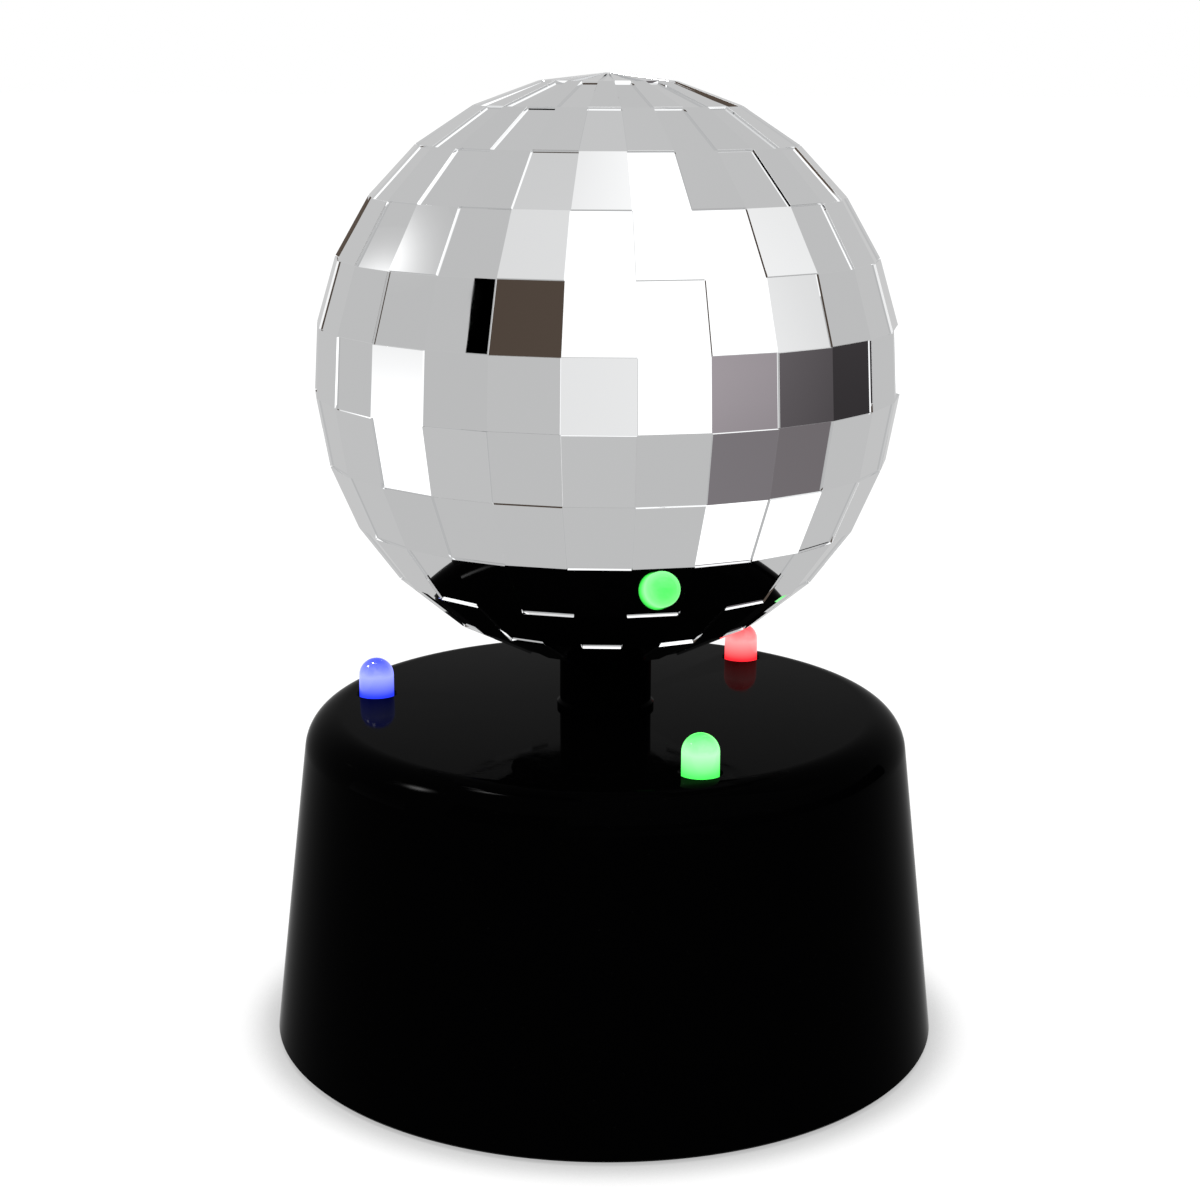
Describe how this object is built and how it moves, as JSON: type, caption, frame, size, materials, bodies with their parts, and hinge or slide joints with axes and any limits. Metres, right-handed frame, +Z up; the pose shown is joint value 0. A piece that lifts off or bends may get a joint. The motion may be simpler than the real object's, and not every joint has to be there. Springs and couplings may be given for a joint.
{
  "type": "LED mirror ball table light",
  "caption": "Battery table light: a faceted mirror ball turned by a geared motor on a short stem above a tapered round base with red, green and blue LEDs.",
  "frame": {"origin": "on the ball's upright axis, on the surface that the feet stand on", "axes": "+Z up along the ball's axis, -Y towards the front of the light, +X to its right"},
  "size_m": [0.0952, 0.0952, 0.1352],
  "materials": {
    "silver_plating": "polished",
    "gloss_black_plastic": "polished",
    "gear_acetal": "satin",
    "hub_plastic": "satin",
    "gearbox_plastic": "satin",
    "steel": "satin",
    "bush_bronze": "satin",
    "magnet_ferrite": "matte",
    "armature_copper": "satin",
    "board_laminate": "satin",
    "contact_nickel": "satin",
    "cell_jacket": "satin",
    "foot_rubber": "matte",
    "wire_red": "satin",
    "wire_black": "satin",
    "lens_red": "polished",
    "lens_green": "polished",
    "lens_blue": "polished"
  },
  "bodies": {
    "base": {"base_housing": "gloss_black_plastic", "neck_tube": "gloss_black_plastic", "neck_bush": "bush_bronze", "led_red": "lens_red", "led_green": "lens_green", "led_blue": "lens_blue", "led_board": "board_laminate", "led_board_screw_1": "steel", "led_board_screw_2": "steel", "led_board_screw_3": "steel", "gearbox_lower_plate": "gearbox_plastic", "gearbox_upper_plate": "gearbox_plastic", "gearbox_screw_1": "steel", "gearbox_screw_2": "steel", "gearbox_screw_3": "steel", "idler_arbor_1": "steel", "idler_arbor_2": "steel", "motor_can": "steel", "motor_end_cap": "gearbox_plastic", "motor_magnet": "magnet_ferrite", "motor_screw_1": "steel", "motor_screw_2": "steel", "base_plate": "gloss_black_plastic", "base_screw_1": "steel", "base_screw_2": "steel", "base_screw_3": "steel", "base_screw_4": "steel", "battery_door": "gloss_black_plastic", "battery_door_screw": "steel", "battery_1": "cell_jacket", "battery_2": "cell_jacket", "battery_3": "cell_jacket", "contact_positive": "contact_nickel", "contact_negative": "contact_nickel", "contact_link_left": "contact_nickel", "contact_link_right": "contact_nickel", "foot_1": "foot_rubber", "foot_2": "foot_rubber", "foot_3": "foot_rubber", "foot_4": "foot_rubber", "switch_body": "hub_plastic", "battery_lead_red": "wire_red", "battery_lead_black": "wire_black", "switch_lead": "wire_black", "motor_lead_red": "wire_red", "motor_lead_black": "wire_black"},
    "ball": {"ball_upper_shell": "silver_plating", "ball_lower_shell": "silver_plating", "ball_hub": "hub_plastic", "hub_screw_1": "steel", "hub_screw_2": "steel", "drive_shaft": "steel", "output_gear": "gear_acetal"},
    "idler_2": {"idler_gear_2": "gear_acetal"},
    "idler_1": {"idler_gear_1": "gear_acetal"},
    "rotor": {"motor_armature": "armature_copper", "motor_pinion": "gear_acetal"},
    "switch": {"switch_knob": "hub_plastic"}
  },
  "joints": [
    {"name": "ball_spin", "type": "hinge", "parent": "base", "child": "ball", "pos_m": [0, 0, 0.095], "axis": [0, 0, 1], "continuous": true},
    {"name": "idler_2_spin", "type": "hinge", "parent": "base", "child": "idler_2", "pos_m": [0, 0.0116, 0.036], "axis": [0, 0, 1], "continuous": true},
    {"name": "idler_1_spin", "type": "hinge", "parent": "base", "child": "idler_1", "pos_m": [-0.0113, 0.00899, 0.033], "axis": [0, 0, 1], "continuous": true},
    {"name": "motor_spin", "type": "hinge", "parent": "base", "child": "rotor", "pos_m": [-0.0113, -0.00261, 0.033], "axis": [0, 0, 1], "continuous": true},
    {"name": "switch_slide", "type": "slide", "parent": "base", "child": "switch", "axis": [1, 0, 0], "range_m": [0, 0.004]}
  ],
  "couplings": [
    {"joint": "idler_2_spin", "follows": "ball_spin", "ratio": -3.6},
    {"joint": "idler_1_spin", "follows": "ball_spin", "ratio": 12.96},
    {"joint": "motor_spin", "follows": "ball_spin", "ratio": -46.656}
  ]
}
